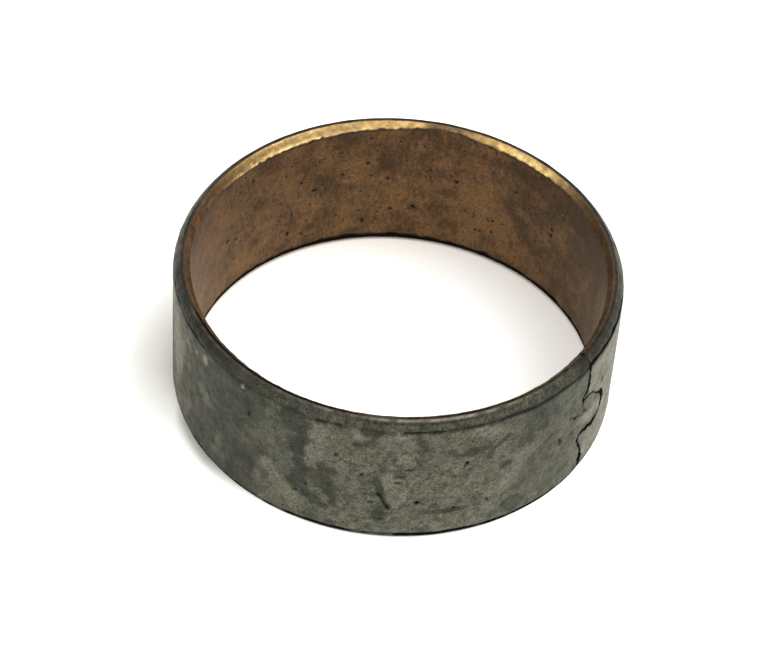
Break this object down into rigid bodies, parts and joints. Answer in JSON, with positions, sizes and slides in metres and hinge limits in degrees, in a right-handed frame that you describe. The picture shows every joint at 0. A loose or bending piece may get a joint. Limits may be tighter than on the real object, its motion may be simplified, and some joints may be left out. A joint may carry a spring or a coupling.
{
  "type": "wrapped bushing",
  "caption": "Steel-backed, bronze-lined bushing rolled from strip and closed by a clinched seam; pressed into a housing, its bore carries a turning shaft.",
  "frame": {"origin": "on the bore axis at mid-width, which is the centre of the bounding box", "axes": "+Z along the bore axis, +X towards the straight part of the clinched seam, +Y completes the right-handed set; the tongue of the seam points to +Y"},
  "size_m": [0.065, 0.065, 0.024],
  "materials": {
    "steel": "dull grey-green steel with handling marks and stains",
    "bronze": "brown-patinated bronze, bright where the bore edge was machined"
  },
  "bodies": {
    "root": {"steel_backing": "steel", "bronze_lining": "bronze"}
  },
  "joints": []
}
